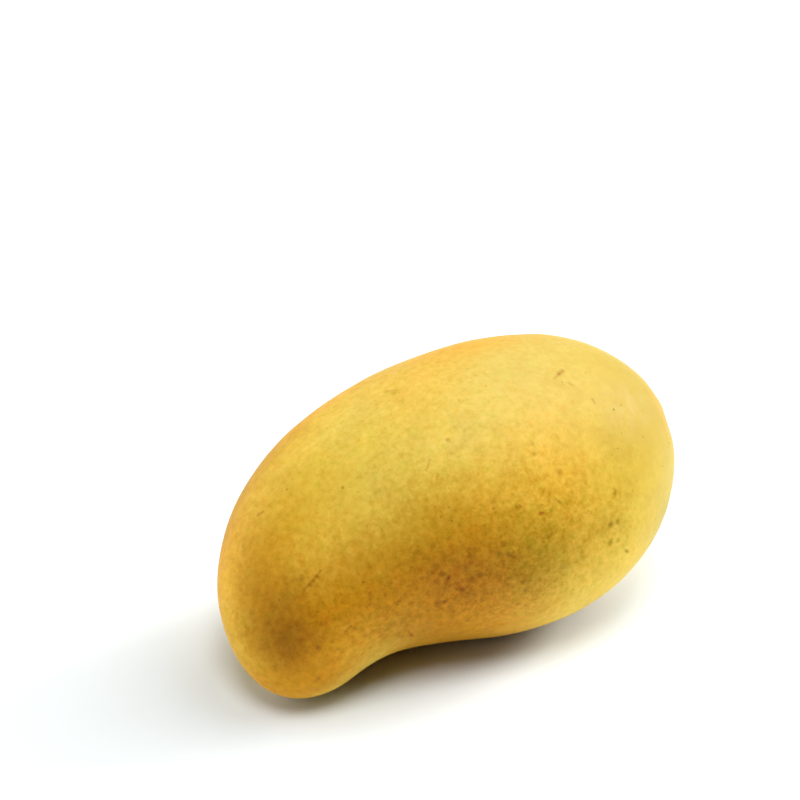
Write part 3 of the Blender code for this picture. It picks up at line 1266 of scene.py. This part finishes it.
@dataclass
class FruitSkin(PackedPiece):
    """The fruit's skin, in its true shape with slight swells and the puckers round the stem.

    Args:
        plump: how far the skin is let out, to make up for what the rounding takes in.
        swell_depth: how far the broad swells go out or in.
        swell_width: width of one swell.
        ripple_depth: how far the finer unevenness goes out or in.
        ripple_width: width of one ripple.
        pucker_depth: depth of the folds that run into the stem basin.
        pucker_reach: how far from the stem they go.
        pucker_count: how many folds there are.
        pucker_grain: the width over which their spacing changes.
        pucker_unevenness: how much it changes, in radians.
        flat_height: the height below which the resting spot stays flat.
    """

    NODE = "mango_fruit"
    NAME = "mango_skin"

    plump: float = 0.00006
    swell_depth: float = 0.00032
    swell_width: float = 0.018
    ripple_depth: float = 0.00006
    ripple_width: float = 0.0035
    pucker_depth: float = 0.00050
    pucker_reach: float = 0.013
    pucker_count: int = 6
    pucker_grain: float = 0.006
    pucker_unevenness: float = 3.0
    flat_height: float = 0.0015

    def relief(self, mesh: bpy.types.Mesh) -> ShapeTree:
        """Lays out the tree that presses the swells, ripples and puckers in.

        Args:
            mesh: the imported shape.

        Returns:
            The tree.
        """
        values = {
            "Stem": self.place.stem,
            "Stem direction": self._stem_direction(mesh),
            "Low corner": self.place.low,
            "High corner": self.place.high,
            "Plump": self.plump,
            "Swell depth": self.swell_depth,
            "Ripple depth": self.ripple_depth,
            "Pucker depth": self.pucker_depth,
            "Pucker reach": self.pucker_reach,
            "Pucker count": float(self.pucker_count),
        }
        tree = ShapeTree("skin_relief", values)
        sheet, given = tree.sheet, tree.given
        point = sheet.add("GeometryNodeInputPosition").outputs[0]
        normal = sheet.add("GeometryNodeInputNormal").outputs[0]
        swell = sheet.noise(point, self.swell_width, 1.0) - 0.5
        ripple = sheet.noise(point, self.ripple_width, 1.0) - 0.5
        clear = sheet.part(point, Axis.Z).step(self.flat_height * 0.3, self.flat_height * 2.0)
        offset = sheet.vector("SUBTRACT", point, given["Stem"])
        side = sheet.vector("CROSS_PRODUCT", given["Stem direction"], (0.0, 0.0, 1.0))
        rise = sheet.vector("CROSS_PRODUCT", side, given["Stem direction"])
        turn = sheet.dot(offset, side).angle_over(sheet.dot(offset, rise))
        uneven = (sheet.noise(point, self.pucker_grain, 1.0) - 0.5) * self.pucker_unevenness
        fold = (turn * tree.value("Pucker count") + uneven).cosine() * 0.5 + 0.5
        away = sheet.length(offset) / tree.value("Pucker reach")
        fade = away.step(0.30, 0.45) * away.step(1.0, 0.5)
        rise_by = (
            tree.value("Plump")
            + swell * tree.value("Swell depth") * 2.0
            + ripple * tree.value("Ripple depth") * 2.0
            - fold * fade * tree.value("Pucker depth")
        ) * clear
        moved = sheet.vector("ADD", point, sheet.scaled(normal, rise_by))
        above = sheet.vector("MAXIMUM", moved, given["Low corner"])
        kept = sheet.vector("MINIMUM", above, given["High corner"])
        placed = sheet.add("GeometryNodeSetPosition", None, {"Geometry": given["Geometry"], "Position": kept})
        tree.close(placed.outputs[0])
        return tree

    def _stem_direction(self, mesh: bpy.types.Mesh) -> Vector:
        """Finds the way the stem points, from the skin round its basin.

        Args:
            mesh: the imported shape.

        Returns:
            The direction, one unit long.
        """
        reach = self.pucker_reach
        near = [v for v in mesh.vertices if reach * 0.5 < (v.co - self.place.stem).length < reach]
        return sum((v.normal for v in near), Vector()).normalized()


@dataclass
class StemStub(PackedPiece):
    """The dry stub of the stem, cracked into lobes, seated in the basin.

    Args:
        lump_depth: depth of its lumps.
        lump_width: width of one lump.
        crack_depth: depth of the cracks.
        crack_width: how far apart the cracks run.
    """

    NODE = "stem_stub"
    NAME = "mango_stem_stub"

    lump_depth: float = 0.00032
    lump_width: float = 0.0016
    crack_depth: float = 0.00040
    crack_width: float = 0.0019

    def relief(self, mesh: bpy.types.Mesh) -> ShapeTree:
        """Lays out the tree that roughens the stub.

        Args:
            mesh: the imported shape.

        Returns:
            The tree.
        """
        tree = ShapeTree("stub_crust", {"Lump depth": self.lump_depth, "Crack depth": self.crack_depth})
        sheet = tree.sheet
        point = sheet.add("GeometryNodeInputPosition").outputs[0]
        normal = sheet.add("GeometryNodeInputNormal").outputs[0]
        lump = sheet.noise(point, self.lump_width, 3.0, 0.6).step(0.3, 0.7)
        crack = sheet.term(sheet.cells(point, self.crack_width, "DISTANCE_TO_EDGE")).step(0.16, 0.0)
        depth = lump * tree.value("Lump depth") + crack * tree.value("Crack depth")
        inputs = {"Geometry": tree.given["Geometry"], "Offset": sheet.scaled(normal, depth * -1.0)}
        tree.close(sheet.add("GeometryNodeSetPosition", None, inputs).outputs[0])
        return tree


@dataclass
class SkinDots:
    """The corky dots scattered over the skin, thicker where it has ripened unevenly.

    Args:
        place: the fruit's frame.
        skin: the finished skin that they sit on.
        patches: the skin's patches, some of which have more dots.
        material: their finish.
        spacing: the closest two dots come.
        density: dots for each square metre where there are most.
        bare: the share of that density on plain skin.
        crowding: how much a patch's own share of dots counts for.
        size: the common width that dots are measured in.
        smallest: the smallest dot's width, in common widths.
        growth: how much wider the widest dots are than that, in common widths.
        narrowest: the least width across a dot, as a share of its length.
        evening: how much less narrow the widest dots are.
        rise: how far a dot stands up, as a share of its width.
        sides: how many corners a dot has.
        seed: the seed of the scatter.
        turn_seed: the seed of the way each dot lies.
    """

    NAME = "mango_skin_dots"

    place: FruitFrame
    skin: bpy.types.Object
    patches: tuple[Patch, ...]
    material: bpy.types.Material
    spacing: float = 0.0011
    density: float = 190000.0
    bare: float = 0.035
    crowding: float = 0.7
    size: float = 0.00038
    smallest: float = 0.6
    growth: float = 1.5
    narrowest: float = 0.6
    evening: float = 0.5
    rise: float = 0.10
    sides: int = 7
    seed: int = 7
    turn_seed: int = 3

    def build(self) -> bpy.types.Object:
        """Makes the dots.

        Returns:
            The dots' object.
        """
        mesh = self.skin.data.copy()
        crowd = mesh.attributes.new("crowd", "FLOAT", "POINT")
        crowd.data.foreach_set("value", self._crowding(mesh).astype(np.float32))
        dots = new_object(self.NAME, mesh)
        self._scatter().hang_on(dots)
        settle(dots, self.material)
        return dots

    def _crowding(self, mesh: bpy.types.Mesh) -> np.ndarray:
        """Works out how thickly the dots stand.

        Args:
            mesh: the skin's mesh.

        Returns:
            One share of the greatest density for each of its points.
        """
        flat = np.zeros(len(mesh.vertices) * 3, np.float32)
        mesh.vertices.foreach_get("co", flat)
        points = flat.reshape(-1, 3).astype(float)
        crowd = np.full(len(points), self.bare)
        for patch in self.patches:
            if patch.dotted:
                crowd = crowd + patch.weight(points, self.place) * patch.dotted * self.crowding
        return np.clip(crowd, 0.0, 1.0)

    def _scatter(self) -> ShapeTree:
        """Lays out the tree that scatters the dots.

        Returns:
            The tree.
        """
        values = {
            "Material": self.material,
            "Spacing": self.spacing,
            "Density": self.density,
            "Size": self.size,
            "Seed": self.seed,
        }
        tree = ShapeTree("skin_dots", values)
        sheet, given = tree.sheet, tree.given
        crowd = sheet.add("GeometryNodeInputNamedAttribute", {"data_type": "FLOAT"}, {"Name": "crowd"})
        spots = sheet.add(
            "GeometryNodeDistributePointsOnFaces",
            {"distribute_method": "POISSON"},
            {
                "Mesh": given["Geometry"],
                "Distance Min": given["Spacing"],
                "Density Max": given["Density"],
                "Density Factor": crowd.outputs[0],
                "Seed": given["Seed"],
            },
        )
        dot = self._dot(sheet)
        spread = self._chance(sheet, 1.0, given["Seed"])
        width = (spread**3.0 * self.growth + self.smallest) * tree.value("Size")
        narrow = width * (spread * self.evening + self.narrowest)
        scale = sheet.add("ShaderNodeCombineXYZ", None, {0: width, 1: narrow, 2: width}).outputs[0]
        about = sheet.add("ShaderNodeCombineXYZ", None, {2: self._chance(sheet, math.tau, self.turn_seed)})
        turn = sheet.add("FunctionNodeEulerToRotation", None, {0: about.outputs[0]}).outputs[0]
        turned = sheet.add(
            "FunctionNodeRotateRotation",
            {"rotation_space": "LOCAL"},
            {0: spots.outputs["Rotation"], 1: turn},
        ).outputs[0]
        copies = sheet.add(
            "GeometryNodeInstanceOnPoints",
            None,
            {"Points": spots.outputs["Points"], "Instance": dot, "Rotation": turned, "Scale": scale},
        )
        real = sheet.add("GeometryNodeRealizeInstances", None, {0: copies.outputs[0]})
        dress = {"Geometry": real.outputs[0], "Material": given["Material"]}
        tree.close(sheet.add("GeometryNodeSetMaterial", None, dress).outputs[0])
        return tree

    def _chance(self, sheet: NodeSheet, most: float, seed: Any) -> Term:
        """A number drawn for each dot, between 0 and most."""
        draw = {2: 0.0, 3: most, "Seed": seed}
        return sheet.term(sheet.add("FunctionNodeRandomValue", {"data_type": "FLOAT"}, draw), 1)

    def _dot(self, sheet: NodeSheet) -> bpy.types.NodeSocket:
        """Lays out one low dome, one unit wide.

        Args:
            sheet: the tree's nodes.

        Returns:
            The dome's geometry.
        """
        sizes = {
            "Vertices": self.sides,
            "Side Segments": 2,
            "Radius Top": 0.02,
            "Radius Bottom": 0.5,
            "Depth": self.rise,
        }
        return sheet.add("GeometryNodeMeshCone", {"fill_type": "NONE"}, sizes).outputs["Mesh"]


@dataclass(frozen=True)
class Lamp:
    """One wide, soft light far off.

    Args:
        name: where it stands.
        bearing: degrees round to the right from the camera's side.
        height: degrees above the floor.
        power: how brightly it lights what faces it.
        spread: how wide it looks from the fruit, in degrees.
    """

    name: str
    bearing: float
    height: float
    power: float
    spread: float = 50.0


@dataclass
class Studio:
    """The pale floor, the soft lights and the camera.

    Args:
        place: the fruit's frame.
        lamps: the lights.
        floor_width: the floor's width, in fruit lengths.
        azimuth: degrees that the camera stands round from the front.
        elevation: degrees that it stands above the floor.
        distance: how far it stands from the fruit, in fruit lengths.
        aim_right: how far right of the fruit's middle it looks, in fruit lengths.
        aim_up: how far above the middle it looks, in fruit lengths.
        middle_height: the height of the point it turns about, as a share of the fruit's height.
        lens: its focal length in millimetres.
        film_width: the width of its picture in millimetres.
        sight: how near and how far it sees, in metres.
        air_shade: the colour of the light from all round.
        air_power: how strong that light is.
    """

    place: FruitFrame
    lamps: tuple[Lamp, ...] = (
        Lamp("low back right", 120.0, 22.0, 0.36),
        Lamp("low back right, small", 120.0, 22.0, 0.95, 20.0),
        Lamp("low back left", 240.0, 22.0, 0.45),
        Lamp("high back right", 120.0, 55.0, 0.62),
        Lamp("low left", 300.0, 22.0, 0.26),
        Lamp("overhead", 0.0, 75.0, 0.63, 30.0),
    )
    floor_width: float = 100.0
    azimuth: float = -29.83
    elevation: float = 33.19
    distance: float = 4.442
    aim_right: float = -0.0935
    aim_up: float = 0.2096
    middle_height: float = 0.465
    lens: float = 100.0
    film_width: float = 36.0
    sight: tuple[float, float] = (0.01, 50.0)
    air_shade: Rgb = (0.9, 0.9, 0.9)
    air_power: float = 0.02

    def build(self) -> None:
        """Makes the floor, the camera, the lights and the air."""
        self._floor()
        self._camera()
        for lamp in self.lamps:
            self._lamp(lamp)
        world = bpy.data.worlds.new("studio_air")
        world.use_nodes = True
        air = {"Color": rgba(self.air_shade), "Strength": self.air_power}
        NodeSheet(world.node_tree).join(world.node_tree.nodes["Background"], air)
        bpy.context.scene.world = world
        bpy.context.scene.view_settings.view_transform = "Standard"

    def _floor(self) -> None:
        """Makes the floor."""
        half = self.floor_width * self.place.length / 2
        mesh = bpy.data.meshes.new("studio_floor")
        corners = [(-half, -half, 0.0), (half, -half, 0.0), (half, half, 0.0), (-half, half, 0.0)]
        mesh.from_pydata(corners, [], [(0, 1, 2, 3)])
        mesh.materials.append(FloorFinish().build())
        new_object("studio_floor", mesh)

    def _sideways(self) -> tuple[Vector, Vector]:
        """Finds two directions along the floor.

        Returns:
            The direction to the camera's right and the direction towards the camera.
        """
        angle = math.radians(self.azimuth)
        right = Vector((math.cos(angle), math.sin(angle), 0.0))
        return right, Vector((math.sin(angle), -math.cos(angle), 0.0))

    def _camera(self) -> None:
        """Makes the camera."""
        right, near = self._sideways()
        rise = math.radians(self.elevation)
        back = near * math.cos(rise) + Vector((0.0, 0.0, math.sin(rise)))
        up = back.cross(right)
        middle = Vector((0.0, 0.0, self.place.high.z * self.middle_height))
        unit = self.place.length
        target = middle + right * self.aim_right * unit + up * self.aim_up * unit
        data = bpy.data.cameras.new("camera")
        data.lens = self.lens
        data.sensor_width = self.film_width
        data.clip_start, data.clip_end = self.sight
        camera = new_object("camera", data)
        camera.location = middle + back * self.distance * unit
        camera.rotation_mode = "QUATERNION"
        camera.rotation_quaternion = (target - camera.location).to_track_quat("-Z", "Y")
        bpy.context.scene.camera = camera

    def _lamp(self, lamp: Lamp) -> None:
        """Makes one light.

        Args:
            lamp: what it is and where it stands.
        """
        right, near = self._sideways()
        turn, rise = math.radians(lamp.bearing), math.radians(lamp.height)
        flat = near * math.cos(turn) + right * math.sin(turn)
        toward = flat * math.cos(rise) + Vector((0.0, 0.0, math.sin(rise)))
        data = bpy.data.lights.new(lamp.name, "SUN")
        data.energy = lamp.power * math.pi
        data.angle = math.radians(lamp.spread)
        light = new_object(lamp.name, data)
        light.rotation_mode = "QUATERNION"
        light.rotation_quaternion = toward.to_track_quat("Z", "Y")


def main() -> None:
    """Builds the mango's pieces in order, then the studio."""
    logging.basicConfig(level=logging.INFO, format="%(message)s")
    place = FruitFrame.from_nodes(FruitSkin.NODE, StemStub.NODE)
    colour = SkinColour(place).build()
    skin = FruitSkin(place, SkinFinish(colour).build()).build()
    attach(skin, "root")
    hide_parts(FruitSkin.NODE)
    LOG.info("skin: %d faces", len(skin.data.polygons))
    dots = SkinDots(place, skin, PATCHES, SpeckFinish(colour).build()).build()
    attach(dots, "root")
    LOG.info("dots: %d faces", len(dots.data.polygons))
    stub = StemStub(place, StemFinish().build()).build()
    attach(stub, "root")
    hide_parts(StemStub.NODE)
    LOG.info("stub: %d faces", len(stub.data.polygons))
    Studio(place).build()


if __name__ == "__main__":
    main()
